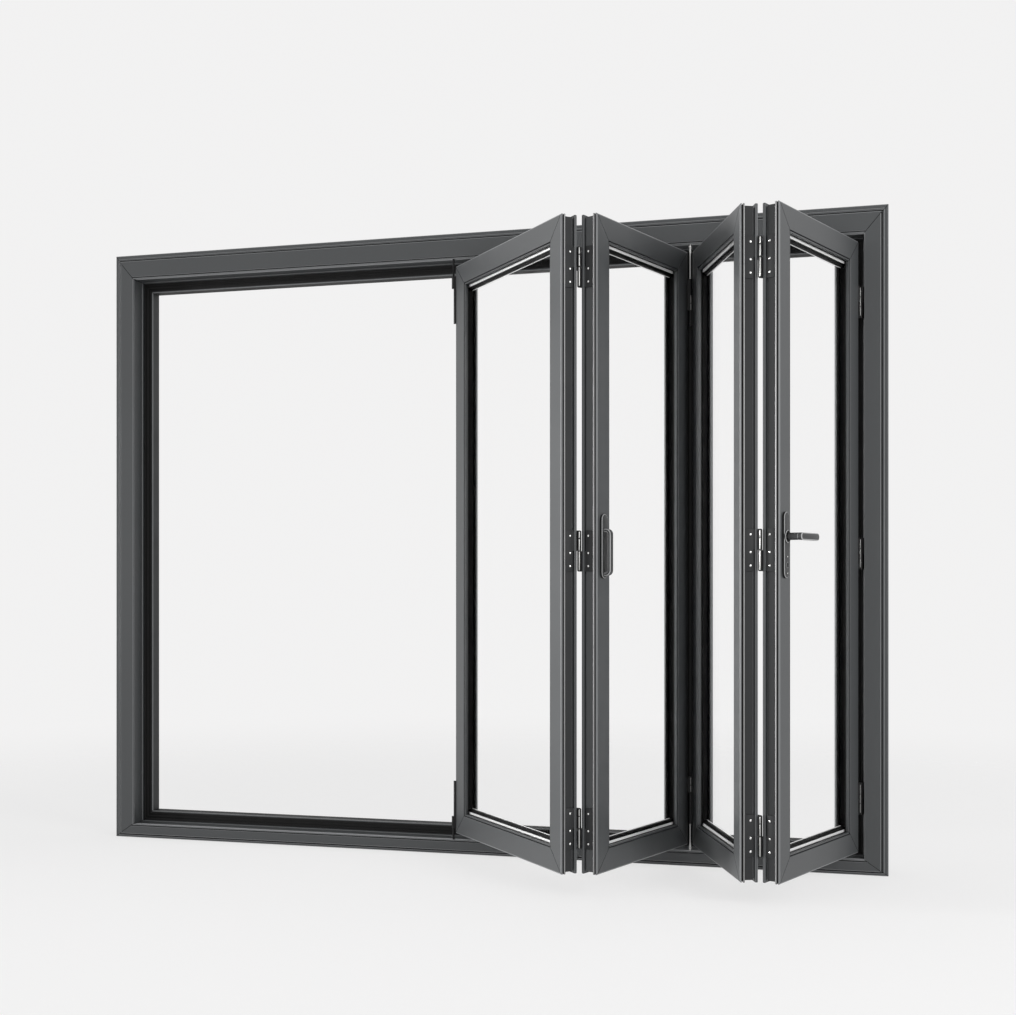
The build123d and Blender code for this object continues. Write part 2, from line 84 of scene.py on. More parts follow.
class GlazingSettings(bpy.types.PropertyGroup):
    pane: length("Pane", "Thickness of one pane of glass", 4 * MM, 3 * MM, 8 * MM)
    spacer_high: length(
        "Spacer height", "How far the spacer reaches in from the edge of the glass", 15 * MM, 8 * MM, 20 * MM)
    rail_front: length(
        "Front rail", "Width of the bright rail against the front pane", 4 * MM, 1 * MM, 8 * MM)
    rail_back: length(
        "Back rail", "Width of the bright rail against the back pane", 2 * MM, 1 * MM, 8 * MM)


class HardwareSettings(bpy.types.PropertyGroup):
    screw: length("Screw head", "Diameter of the screw heads", 6.5 * MM, 4 * MM, 9 * MM)
    knuckle_round: length(
        "Knuckle end", "Rounding at the outer ends of a hinge", 4.5 * MM, 0.5 * MM, 5.5 * MM)
    handle_colour: colour("Handle colour", "Colour of the handles' faces", (0.034, 0.035, 0.036))


class StudioSettings(bpy.types.PropertyGroup):
    background: amount("Background", "Brightness of the pale background", 0.8879)
    ambient: amount("Ambient light", "Strength of the soft light from all round", 0.63, 2)
    left_power: amount("Left light", "Power of the large soft light on the left, in watts", 43, 1000)
    right_power: amount("Right light", "Power of the soft light on the right, in watts", 76, 1000)
    floor_reach: length(
        "Floor reach", "Radius at which the floor has faded into the background", 5.2, 2, 10)


# Selection and modelling helpers

def alone(piece):
    """Selects one object and nothing else."""
    bpy.ops.object.select_all(action="DESELECT")
    piece.select_set(True)
    bpy.context.view_layer.objects.active = piece


def pick(piece, kind, test):
    """Opens a piece for editing with the faces or edges that pass a test selected."""
    alone(piece)
    bpy.ops.object.mode_set(mode="EDIT")
    bpy.ops.mesh.select_mode(type=kind)
    bpy.ops.mesh.select_all(action="DESELECT")
    bpy.ops.object.mode_set(mode="OBJECT")
    for item in piece.data.polygons if kind == "FACE" else piece.data.edges:
        item.select = bool(test(item))
    bpy.ops.object.mode_set(mode="EDIT")


def object_mode():
    bpy.ops.object.mode_set(mode="OBJECT")


def named(piece, name):
    piece.name = name
    piece.data.name = name
    return piece


def bake():
    """Puts the place, turn and scale of what is selected into its mesh."""
    bpy.ops.object.transform_apply(location=True, rotation=True, scale=True)


def start_box(name, low, high):
    """A box between two corners, with its place in its mesh."""
    bpy.ops.object.select_all(action="DESELECT")
    centre = (Vector(low) + Vector(high)) / 2
    bpy.ops.mesh.primitive_cube_add(size=1, location=centre)
    piece = named(bpy.context.object, name)
    piece.scale = Vector(high) - Vector(low)
    bake()
    return piece


def start_round(name, radius, low, high, along="Z", sides=48):
    """A cylinder between two points that differ along one axis."""
    bpy.ops.object.select_all(action="DESELECT")
    low, high = Vector(low), Vector(high)
    turn = {"X": (0, math.pi / 2, 0), "Y": (math.pi / 2, 0, 0), "Z": (0, 0, 0)}[along]
    bpy.ops.mesh.primitive_cylinder_add(
        vertices=sides, radius=radius, depth=(high - low).length, location=(low + high) / 2, rotation=turn)
    piece = named(bpy.context.object, name)
    bake()
    return piece


def smooth(piece, degrees=35):
    alone(piece)
    bpy.ops.object.shade_smooth_by_angle(angle=math.radians(degrees))


def modify(piece, kind, **settings):
    """Applies a modifier with these settings."""
    alone(piece)
    change = piece.modifiers.new("Change", kind)
    for key, value in settings.items():
        setattr(change, key, value)
    bpy.ops.object.modifier_apply(modifier=change.name)


def round_edges(piece, width, segments=2):
    """Rounds every sharp edge of a piece."""
    modify(piece, "BEVEL", width=width, segments=segments, limit_method="ANGLE", angle_limit=math.radians(30))
    smooth(piece)
    return piece


def round_picked(piece, kind, test, width, segments, finish=-1):
    """Rounds the edges that pass a test, or the edges of the faces that pass it."""
    pick(piece, kind, test)
    bpy.ops.mesh.bevel(offset=width, segments=segments, affect="EDGES", material=finish)
    object_mode()


def pull(x, y, z):
    """Extrudes what is picked."""
    bpy.ops.mesh.extrude_region_move(TRANSFORM_OT_translate={"value": (x, y, z)})


def dish(piece, test, rim, *shift):
    """Leaves a rim inside the faces that pass a test, and sinks the rest."""
    pick(piece, "FACE", test)
    bpy.ops.mesh.inset(thickness=rim)
    pull(*shift)
    object_mode()


def place(piece, matrix):
    """Moves a finished piece by a matrix and bakes that into its mesh."""
    alone(piece)
    piece.matrix_world = matrix
    bake()
    return piece


def copy_of(piece, name):
    twin = piece.copy()
    twin.data = piece.data.copy()
    bpy.context.scene.collection.objects.link(twin)
    return named(twin, name)


def join(pieces, name):
    bpy.ops.object.select_all(action="DESELECT")
    for piece in pieces:
        piece.select_set(True)
    bpy.context.view_layer.objects.active = pieces[0]
    bpy.ops.object.join()
    return named(bpy.context.object, name)


def paint(piece, names, choose=None):
    """Gives a piece its finishes by name; a piece with several has a rule that picks one for each face."""
    mesh = piece.data
    marks = [choose(face) if choose else 0 for face in mesh.polygons]
    mesh.materials.clear()
    for name in names:
        mesh.materials.append(finishes[name])
    for face, mark in zip(mesh.polygons, marks):
        face.material_index = mark
    return piece


def declare(piece, slot, *stands_for, body="door"):
    """Says the body that a piece rides on and the nodes that it stands for; the slot is not used."""
    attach(piece, body)
    if stands_for:
        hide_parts(*stands_for)
    return piece


def finish_piece(piece, name, slot, *stands_for):
    return declare(paint(piece, [name]), slot, *stands_for)


# Node groups that more than one finish uses

def new_group(name, inputs, outputs):
    group = bpy.data.node_groups.new(name, "ShaderNodeTree")
    for label, value in inputs:
        socket = group.interface.new_socket(name=label, in_out="INPUT", socket_type="NodeSocketFloat")
        socket.default_value = value
    for label in outputs:
        group.interface.new_socket(name=label, in_out="OUTPUT", socket_type="NodeSocketFloat")
    return group, group.nodes.new("NodeGroupInput"), group.nodes.new("NodeGroupOutput")


def add(tree, kind, **values):
    """A shader node with some of its settings and inputs given by name."""
    node = tree.nodes.new("ShaderNode" + kind)
    for key, value in values.items():
        if hasattr(node, key):
            setattr(node, key, value)
        else:
            node.inputs[key.replace("_", " ")].default_value = value
    return node


def fill(node, values):
    """Sets inputs of a node by name."""
    for label, value in values.items():
        node.inputs[label].default_value = value


def new_finish(name):
    """A material, its node tree and its shader."""
    finish = bpy.data.materials.new(name)
    finish.use_nodes = True
    return finish, finish.node_tree, finish.node_tree.nodes["Principled BSDF"]


def grain_group():
    """Fine all-over texture of a sprayed or moulded skin, with a slow drift in its sheen."""
    group, source, result = new_group(
        "Skin grain", [("Grain scale", 900.0), ("Drift scale", 3.0)], ["Height", "Drift"])
    link = group.links.new
    where = add(group, "TexCoord")
    fine = add(group, "TexNoise", Detail=3.0, Roughness=0.55)
    coarse = add(group, "TexNoise", Detail=2.0, Roughness=0.5)
    for node, label, out in ((fine, "Grain scale", "Height"), (coarse, "Drift scale", "Drift")):
        link(where.outputs["Object"], node.inputs["Vector"])
        link(source.outputs[label], node.inputs["Scale"])
        link(node.outputs["Fac"], result.inputs[out])
    return group


def brush_group():
    """Long scratches along one axis, as on drawn or turned metal."""
    group, source, result = new_group(
        "Brushed lines", [("Across", 900.0), ("Along", 8.0)], ["Height", "Tone"])
    link = group.links.new
    where = add(group, "TexCoord")
    scale = add(group, "CombineXYZ")
    stretch = add(group, "VectorMath", operation="MULTIPLY")
    lines = add(group, "TexNoise", Scale=1.0, Detail=4.0, Roughness=0.6)
    for axis, label in (("X", "Across"), ("Y", "Across"), ("Z", "Along")):
        link(source.outputs[label], scale.inputs[axis])
    link(where.outputs["Object"], stretch.inputs[0])
    link(scale.outputs["Vector"], stretch.inputs[1])
    link(stretch.outputs["Vector"], lines.inputs["Vector"])
    for out in ("Height", "Tone"):
        link(lines.outputs["Fac"], result.inputs[out])
    return group


def ramp_between(tree, mask, low, high):
    """Maps a noise mask, most of which lies between 0.3 and 0.7, to a range of values."""
    node = add(tree, "MapRange", clamp=True)
    fill(node, {"From Min": 0.3, "From Max": 0.7, "To Min": low, "To Max": high})
    tree.links.new(mask, node.inputs["Value"])
    return node.outputs["Result"]


def tint_between(tree, fac, colour, amount):
    """Mixes a colour with a slightly lighter version of itself by a mask."""
    node = add(tree, "Mix", data_type="RGBA")
    ends = [socket for socket in node.inputs if socket.type == "RGBA"]
    for socket, share in zip(ends, (1 - amount, 1 + amount)):
        socket.default_value = (*[min(1.0, channel * share) for channel in colour], 1)
    tree.links.new(fac, node.inputs["Factor"])
    return [socket for socket in node.outputs if socket.type == "RGBA"][0]


def surface(name, group, colour, roughness, height, tint, spread, scales, metallic=0.0, level=0.5):
    """A finish whose colour, roughness and relief vary by one of the shared groups."""
    finish, tree, shader = new_finish(name)
    link = tree.links.new
    texture = add(tree, "Group")
    texture.node_tree = group
    for socket, scale in zip(texture.inputs, scales):
        socket.default_value = scale
    relief, mask = texture.outputs[0], texture.outputs[1]
    link(tint_between(tree, mask, colour, tint), shader.inputs["Base Color"])
    link(ramp_between(tree, mask, roughness - spread, roughness + spread), shader.inputs["Roughness"])
    fill(shader, {"Metallic": metallic, "Specular IOR Level": level})
    bump = add(tree, "Bump", Strength=0.35, Distance=height)
    link(relief, bump.inputs["Height"])
    link(bump.outputs["Normal"], shader.inputs["Normal"])
    return finish


def clear_glass():
    """Plain clear glass. It hardly bends light, because most rays pass each face by its alpha, unbent."""
    finish, _, shader = new_finish("Clear glass")
    fill(shader, {"Base Color": (0.985, 0.995, 0.99, 1), "Roughness": 0.0, "IOR": 1.02,
                  "Specular IOR Level": 0.1, "Transmission Weight": 1.0, "Alpha": 0.03})
    return finish


finishes = {}


def make_finishes(settings):
    """Every finish of the door, by name: colour, roughness, relief, tint, spread of roughness and scales."""
    grain, brush = grain_group(), brush_group()
    profiles, hardware = settings.profiles, settings.hardware

    def skin(name, *look, level=0.5):
        return surface(name, grain, *look, level=level)

    def metal(name, *look, metallic=1.0):
        return surface(name, brush, *look, metallic=metallic)

    coat = tuple(profiles.coat_colour)
    handle = tuple(hardware.handle_colour)
    finishes.update({
        "coat": skin("Powder coat", coat, profiles.coat_roughness, 0.00015, 0.03, 0.04, (700, 2.5)),
        # The lighter coat on rounded edges is a painted highlight.
        "edge": skin("Painted highlight on the coat's edges", (0.175, 0.18, 0.185), 0.40, 0.0001, 0.05, 0.04, (700, 2.5)),
        # Near-black: the open mitre joints, and painted shade in grooves and on faces that lie in shade.
        "joint": skin("Open joints and painted groove shade", (0.006, 0.006, 0.006), 0.60, 0.0001, 0.20, 0.05, (500, 9), level=0.2),
        # A darker coat painted on faces that lie in shade: the leaves' channels, the jambs' stops and the
        # hinge plates in the channels.
        "shaded_coat": skin("Coat in painted shade", (0.027, 0.028, 0.029), 0.55, 0.0002, 0.06, 0.05, (420, 6), level=0.25),
        # The bead on each leaf's ridge; its brightness is a painted highlight.
        "bead_highlight": metal("Edge bead with painted highlight", (0.27, 0.27, 0.27), 0.50, 0.00001, 0.03, 0.03, (900, 2)),
        # Bright steel for the pivot rods, and for the pin strips that stand in for the knuckles' highlight.
        "pin": metal("Bright steel and painted knuckle highlight", (0.48, 0.48, 0.47), 0.30, 0.00002, 0.10, 0.06, (1500, 60)),
        "screw": metal("Bright screw", (0.74, 0.74, 0.73), 0.20, 0.00002, 0.03, 0.03, (1500, 60)),
        "black": skin("Black hinge metal", (0.004, 0.004, 0.0042), 0.42, 0.0001, 0.10, 0.05, (1100, 12),
                      level=0.25),
        "handle": skin("Handle coat", handle, 0.42, 0.0001, 0.05, 0.04, (1100, 12), level=0.4),
        # The lighter rims of the handles are a painted highlight.
        "rim": skin("Painted highlight on the handles' rims", (0.40, 0.404, 0.408), 0.32, 0.0001, 0.10, 0.05, (900, 30)),
        "alloy": metal("Mill aluminium", (0.42, 0.43, 0.44), 0.38, 0.00005, 0.08, 0.06, (900, 900)),
        "rail": metal("Pale spacer rail", (0.93, 0.93, 0.93), 0.40, 0.00003, 0.03, 0.05, (700, 700),
                      metallic=0.0),
        "rubber": skin("Black rubber", (0.008, 0.008, 0.008), 0.62, 0.0002, 0.15, 0.08, (500, 20),
                       level=0.25),
        "sealant": skin("Edge sealant", (0.003, 0.003, 0.003), 0.60, 0.0001, 0.20, 0.08, (420, 20),
                        level=0.12),
        "nylon": skin("Grey nylon", (0.16, 0.16, 0.16), 0.45, 0.0001, 0.06, 0.05, (600, 30)),
        "glass": clear_glass(),
    })


# Places taken from the frame. A reach is measured in from an outer edge, a depth back from a face.

LEAF_EDGE_TO_GLASS = 52 * MM
LEAF_FACE_TO_GLASS = 14 * MM
LEAF_THICK = 52 * MM
LEAF_FACE = 68 * MM
HALF_GAP = 5 * MM
PROUD = 5 * MM            # of a pivot, before or behind its leaf
ARRIS = 3.5 * MM
EDGE_GROOVE = (4 * MM, 9 * MM)      # depths of the groove beside the front edge
RIDGE_REACH, GROOVE_REACH = 1.2 * MM, 5.3 * MM
RIDGE = (9.3 * MM, 14.7 * MM)
CHANNEL = (14.8 * MM, 39.7 * MM)
EDGE_CHANNEL = 6 * MM
NIB_GROOVE = (67.9 * MM, 70.1 * MM, 0.3 * MM, 6.2 * MM)     # reach, then depth


class LeafPlace:
    """A leaf's own place: X from its left edge, Y from its face to its back, Z from its foot."""

    def __init__(self, number):
        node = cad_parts[f"leaf{number}_glass"]
        points = [v.co for v in node.data.vertices]
        corners = sorted({(round(p.x, 5), round(p.y, 5)) for p in points})
        sides = sorted((Vector(c) - Vector(corners[0]) for c in corners[1:]), key=lambda side: side.length)
        thick, wide = sides[0].length, sides[1].length
        along = sides[1].normalized()
        if along.x < 0:
            along = -along
        depth = Vector((-along.y, along.x))
        start = min(corners, key=lambda c: Vector(c).dot(along) + Vector(c).dot(depth))
        low = min(p.z for p in points)
        high = max(p.z for p in points)
        corner = Vector(start) - along * LEAF_EDGE_TO_GLASS - depth * LEAF_FACE_TO_GLASS
        self.number = number
        self.thick = thick
        self.width = wide + 2 * LEAF_EDGE_TO_GLASS
        self.height = high - low + 2 * LEAF_EDGE_TO_GLASS
        turn = math.atan2(along.y, along.x)
        foot = Vector((corner.x, corner.y, low - LEAF_EDGE_TO_GLASS))
        self.matrix = Matrix.Translation(foot) @ Matrix.Rotation(turn, 4, "Z")
        self.along = self.matrix.to_3x3() @ X_AXIS

    def pivots_behind(self, right):
        """Whether the pivot at the left or the right edge lies behind the leaf."""
        return (self.number % 2 == 0) != right

    def pivot(self, right):
        x = self.width + HALF_GAP if right else -HALF_GAP
        return self.matrix @ Vector((x, LEAF_THICK + PROUD if self.pivots_behind(right) else -PROUD, 0))


# Coated profiles

MITRE_OPEN = 1.0 * MM
COATED = ["coat", "edge", "joint", "bead_highlight", "shaded_coat"]
# Finish numbers of a coated piece: 1 paints a highlight on rounded edges, 2 is near-black for open joints and
# for painted shade in grooves, 3 is a bead with a painted highlight, 4 is a coat in painted shade.
EDGE, JOINT_AND_SHADE, BEAD_HIGHLIGHT, PAINTED_SHADE = 1, 2, 3, 4
FACE_Y, STOP_Y, BACK_Y = -60 * MM, 13 * MM, 55 * MM    # the frame's face, the front of its stop, its back
FLANGE, SILL_FLANGE = 18 * MM, 9 * MM
SHADOW_WIDE, SHADOW_DEEP = 4.1 * MM, 16 * MM           # groove inside the flange
STOP_REACH = 80 * MM
QUIRK = (70.9 * MM, 74.1 * MM, 3.4 * MM, 7.6 * MM)     # reach, then depth
LINE_WIDE, LINE_DEEP = 3 * MM, 2.5 * MM                # fine line along the faces of head and sill
HEAD_LINE, SILL_LINE = 42.5 * MM, 45.5 * MM            # from the edge of the stop
MERGE = 2e-6              # points nearer than this, in metres, are one
SHORT_EDGE = 12 * MM      # shorter edges stay sharp


def cut_box(piece, low, high):
    """Cuts the space between two corners out of a piece."""
    cutter = start_box("cutter", low, high)
    modify(piece, "BOOLEAN", operation="DIFFERENCE", object=cutter)
    bpy.data.objects.remove(cutter)


def dressed_copy(node, name, width, mitre_along=None, plain=False, groove=None):
    """A merged copy of a node: open mitre joints, then rounded outer edges in the second finish, a lighter
    coat painted on them as a highlight.
    """
    piece = copy_of(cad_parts[node], name)
    piece.parent = None
    for key in list(piece.keys()):
        del piece[key]
    paint(piece, COATED[:1] if plain else COATED)
    pick(piece, "FACE", lambda face: True)
    bpy.ops.mesh.remove_doubles(threshold=MERGE)
    bpy.ops.mesh.dissolve_limited(angle_limit=math.radians(0.5))
    object_mode()
    if groove:
        cut_box(piece, *groove)
    if mitre_along is not None:
        bevel_marked(piece, MITRE_OPEN, 1, lambda faces, length: is_mitre(faces, mitre_along), JOINT_AND_SHADE)
    # Outer edges are rounded, and on coated pieces they are painted lighter as a highlight.
    bevel_marked(piece, width, 2, lambda faces, length: length > SHORT_EDGE and not (
        mitre_along is not None and is_mitre(faces, mitre_along)), 0 if plain else EDGE)
    if plain:
        smooth(piece)
    else:
        alone(piece)
        bpy.ops.object.shade_flat()
    return piece


def is_mitre(faces, along):
    """Whether one of an edge's faces belongs to a corner joint, cut aslant."""
    return any(face.material_index == JOINT_AND_SHADE or (
        abs(face.normal.z) > 0.3 and abs(face.normal.dot(along)) > 0.3) for face in faces)


def bevel_marked(piece, width, segments, test, finish):
    """Rounds the outward edges that pass a test, and gives the new faces a finish by its number."""
    mesh = piece.data
    name = "bevel_weight_edge"
    weights = mesh.attributes.get(name) or mesh.attributes.new(name, "FLOAT", "EDGE")
    faces_at = {}
    for face in mesh.polygons:
        for key in face.edge_keys:
            faces_at.setdefault(key, []).append(face)
    for edge in mesh.edges:
        faces = faces_at.get(edge.key, [])
        value = 0.0
        if len(faces) == 2:
            normals = [Vector(f.normal) for f in faces]
            outward = (faces[1].center - faces[0].center).dot(normals[0]) < -1e-7
            a, b = (mesh.vertices[v].co for v in edge.vertices)
            sharp = normals[0].angle(normals[1], 0) > math.radians(25)
            if outward and sharp and test(faces, (a - b).length):
                value = 1.0
        weights.data[edge.index].value = value
    modify(piece, "BEVEL", width=width, segments=segments, limit_method="WEIGHT", use_clamp_overlap=False,
           material=finish)


class DOOR_OT_frame_profiles(bpy.types.Operator):
    """Make the coated jambs, head and sill, with rounded edges and fine mitre joints"""
    bl_idname = "door.frame_profiles"
    bl_label = "Frame profiles"

    def execute(self, context):
        width = context.scene.door.profiles.edge_round
        foot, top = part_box("frame_sill"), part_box("frame_head")
        half, high = top[1][0], top[1][2]
        lines = {"frame_head": top[0][2] + HEAD_LINE, "frame_sill": foot[1][2] - SILL_LINE}
        for node in FRAME_MEMBERS:
            line = lines.get(node)
            groove = line and ((-half, FACE_Y - MM, line), (half, FACE_Y + LINE_DEEP, line + LINE_WIDE))
            piece = dressed_copy(node, f"{node}_coated", width, X_AXIS, groove=groove)
            flange = (SILL_FLANGE if node == "frame_sill" else FLANGE) - 0.05 * MM

            def finish_of(face):
                """Grooves painted near-black as their shade, and the stop behind the seal painted as shade.
                """
                x, y, z = face.center
                reach = min(half - abs(x), z, high - z)
                depth = y - FACE_Y
                shadow = 0 < reach - flange < SHADOW_WIDE + 0.05 * MM and depth < SHADOW_DEEP
                fine = line and line < z < line + LINE_WIDE and 0.1 * MM < depth < LINE_DEEP + 0.1 * MM
                quirk = not line and QUIRK[0] < reach < QUIRK[1] and QUIRK[2] < depth < QUIRK[3]
                # These grooves are painted near-black as their shade.
                if shadow or fine or quirk:
                    return JOINT_AND_SHADE
                # The stop behind the seal is painted as shade: near-black under the head and sill, the darker
                # coat on the jambs.
                if y > STOP_Y + MM and reach > STOP_REACH and abs(face.normal.y) < 0.2:
                    return JOINT_AND_SHADE if line else PAINTED_SHADE
                return 0 if y > BACK_Y else face.material_index

            declare(paint(piece, COATED, finish_of), "powder_coat", node)
        return {"FINISHED"}


class DOOR_OT_leaf_profiles(bpy.types.Operator):
    """Make the coated stiles, rails and glazing beads of every leaf"""
    bl_idname = "door.leaf_profiles"
    bl_label = "Leaf profiles"

    def execute(self, context):
        width = context.scene.door.profiles.edge_round
        for number in LEAVES:
            leaf = LeafPlace(number)
            back = leaf.matrix.inverted()

            def finish_of(face):
                """The ridge's bead painted bright as a highlight, the front corner painted lighter as a
                highlight, and the grooves and the channel painted dark as their shade.
                """
                place = back @ face.center
                reach = min(place.x, leaf.width - place.x, place.z, leaf.height - place.z)
                depth = place.y
                # The ridge's bead is painted bright as a highlight.
                if reach < RIDGE_REACH and RIDGE[0] < depth < RIDGE[1]:
                    return BEAD_HIGHLIGHT
                # The groove between the front corner and the ridge is painted near-black as its shade.
                if RIDGE_REACH < reach < GROOVE_REACH and ARRIS + 0.3 * MM < depth < RIDGE[0]:
                    return JOINT_AND_SHADE
                # The front corner is painted lighter as a highlight.
                if max(reach, depth) < ARRIS + 0.1 * MM and 0.5 * MM < reach + depth < 1.25 * ARRIS:
                    return EDGE
                # The channel floor is painted in the darker coat as its shade.
                if 0 < EDGE_CHANNEL - reach < 0.5 * MM and CHANNEL[0] < depth < CHANNEL[1]:
                    return PAINTED_SHADE
                # The groove by the nib is painted near-black as its shade.
                if NIB_GROOVE[0] < reach < NIB_GROOVE[1] and NIB_GROOVE[2] < depth < NIB_GROOVE[3]:
                    return JOINT_AND_SHADE
                return 0 if reach > LEAF_FACE / 2 and face.material_index == EDGE else face.material_index

            for side in SIDES:
                node = f"leaf{number}_{side}"
                piece = paint(dressed_copy(node, f"{node}_coated", width, leaf.along), COATED, finish_of)
                declare(piece, "powder_coat", node)
            node = f"leaf{number}_beads"
            declare(dressed_copy(node, f"{node}_coated", width), "powder_coat", node)
        return {"FINISHED"}


class DOOR_OT_seals(bpy.types.Operator):
    """Make the rubber gaskets round the glass and the seal on the frame's stop"""
    bl_idname = "door.seals"
    bl_label = "Seals"

    def execute(self, context):
        for node in ("leaf_gaskets", "frame_seal"):
            piece = dressed_copy(node, f"{node}_rubber", 0.4 * MM, plain=True)
            finish_piece(piece, "rubber", "seal_rubber", node)
        return {"FINISHED"}


# Double glazing

FRONT_BAR, MIDDLE_BAR, BACK_BAR = 81.5 * MM, 91 * MM, 92.6 * MM    # reach in from the leaf's edge
SEALANT = 5 * MM
SLIVER = 0.1 * MM         # between the spacer and a pane


def start_ring(name, outer, inner, y0, y1):
    """A rectangular ring from y0 to y1: outer is (x0, x1, z0, z1), and its hole starts at x inner."""
    piece = start_box(name, (outer[0], y0, outer[2]), (outer[1], y1, outer[3]))
    pick(piece, "FACE", lambda f: abs(f.normal.y) > 0.9)
    bpy.ops.mesh.inset(thickness=inner - outer[0])
    bpy.ops.mesh.bridge_edge_loops()
    object_mode()
    return piece


class DOOR_OT_glazing(bpy.types.Operator):
    """Make a sealed unit of two panes, a spacer with bright rails and a sealed edge for every leaf"""
    bl_idname = "door.glazing"
    bl_label = "Glazing"

    def execute(self, context):
        values = context.scene.door.glazing
        for number in LEAVES:
            leaf = LeafPlace(number)
            edge = LEAF_EDGE_TO_GLASS
            x1, z1 = leaf.width - edge, leaf.height - edge
            front, back = LEAF_FACE_TO_GLASS, LEAF_FACE_TO_GLASS + leaf.thick
            node = f"leaf{number}_glass"
            for side, y0 in (("front", front), ("back", back - values.pane)):
                pane = start_box(f"leaf{number}_pane_{side}", (edge, y0, edge), (x1, y0 + values.pane, z1))
                round_edges(pane, 0.5 * MM, 1)
                place(pane, leaf.matrix)
                finish_piece(pane, "glass", "clear_glass", node)
            self.spacer(leaf, values, front + values.pane, back - values.pane)
        return {"FINISHED"}

    def spacer(self, leaf, values, y0, y1):
        """Sealant and a black ring all round, and above and below a black bar between two bright rails."""
        edge, right, top = LEAF_EDGE_TO_GLASS, leaf.width, leaf.height
        inner = edge + values.spacer_high
        y0, y1, front, back = y0 + SLIVER, y1 - SLIVER, y0 + values.rail_front, y1 - values.rail_back

        def band(name, out, into):
            outer = (edge + out, right - edge - out, edge + out, top - edge - out)
            return start_ring(f"leaf{leaf.number}_{name}", outer, edge + into, y0, y1)

        black, bright = [band("edge_sealant", 0, SEALANT), band("spacer", SEALANT, values.spacer_high)], []
        for bars, a, b, reach in ((bright, y0, front, FRONT_BAR), (black, front, back, MIDDLE_BAR),
                                  (bright, back, y1, BACK_BAR)):
            for low, high in ((inner - MM, reach), (top - reach, top - inner + MM)):
                bar = start_box("bar", (inner - MM, a, low), (right - inner + MM, b, high))
                bars.append(round_edges(bar, 0.4 * MM))
        for bars, name, finish, slot in ((black, "spacer", "sealant", "seal_rubber"),
                                         (bright, "spacer_rails", "rail", "track_alloy")):
            piece = place(join(bars, f"leaf{leaf.number}_{name}"), leaf.matrix)
            finish_piece(piece, finish, slot)


# Hinges

KNUCKLE = 6 * MM          # radius
PLATE = 3.5 * MM
SCREW_DEPTH = 31 * MM     # leaf face to the line of screws
SCREW_PLACES = (44 * MM, -6 * MM, -44 * MM)
HINGE_HALF = 60 * MM
SEAM = 0.4 * MM
APEX_HEIGHTS = (131 * MM, 939 * MM, 1766 * MM)
TRACK_HEIGHTS = (170 * MM, 1728 * MM)
JAMB_HEIGHTS = (*TRACK_HEIGHTS, APEX_HEIGHTS[1])
# For each kind of hinge, the bright pin that stands in for the knuckles' highlight: the lengths of pin that
# show, in millimetres, the radius of the pin, the way that its open side faces and how far the pin lies that
# way
APEX_PIN_HIGHLIGHT = (((-57, -1.2), (1.2, 35), (36.5, 57)), 2.3 * MM)
TRACK_PIN_HIGHLIGHT = (((-49, -30), (-28, -1), (1, 22), (24, 49)), 1.3 * MM, Vector((0.5, -0.85, 0)), 5.2 * MM)
JAMB_PIN_HIGHLIGHT = (((-44, -16), (-14, 14), (16, 44)), 1.0 * MM, Vector((-0.3, -0.95, 0)), 5.4 * MM)
APEX_SINK = 4.2 * MM
COLLAR = 5 * MM
COLLAR_SPANS = (12 * MM, 20 * MM), (-16 * MM, -8 * MM)    # above the leaf's top, then below its foot
ROD_SHADE_X = 0.3         # the rods that lie further left are painted black as their shade; those further right stay bright


def screw(name, radius, matrix):
    """A low domed head with a dip, facing up along Z before it is placed."""
    head = start_round(name, radius, (0, 0, 0), (0, 0, 0.9 * MM), sides=20)
    pick(head, "FACE", lambda f: f.normal.z > 0.9)
    pull(0, 0, 0.7 * MM)
    bpy.ops.transform.resize(value=(0.62, 0.62, 1), center_override=(0, 0, 0))
    bpy.ops.mesh.inset(thickness=radius * 0.30)
    pull(0, 0, -0.8 * MM)
    object_mode()
    smooth(head, 50)
    return place(head, matrix)


def recess(name, radius, matrix):
    """A countersink round a screw head, painted dark as its shade."""
    ring = start_round(name, radius * 1.55, (0, 0, 0), (0, 0, 0.25 * MM), sides=24)
    dish(ring, lambda f: f.normal.z > 0.9, radius * 0.5, 0, 0, -0.2 * MM)
    return place(ring, matrix)


def capsule(name, radius, x, y, low, high, rounding, sides=32):
    """An upright bar with rounded ends."""
    bar = start_round(name, radius, (x, y, low), (x, y, high), sides=sides)
    round_picked(bar, "FACE", lambda f: abs(f.normal.z) > 0.9, rounding, 5)
    smooth(bar, 50)
    return bar


def knuckle(point, low, high, upper, rounding):
    """Half a barrel: a long rounding at its outer end and a fine one at the seam."""
    bar = start_round("knuckle", KNUCKLE, (point.x, point.y, low), (point.x, point.y, high), sides=40)
    for outer, width in ((True, rounding), (False, 0.4 * MM)):
        end = 1 if outer == upper else -1
        round_picked(bar, "FACE", lambda f: f.normal.z * end > 0.99, width, 6)
    smooth(bar, 50)
    return bar


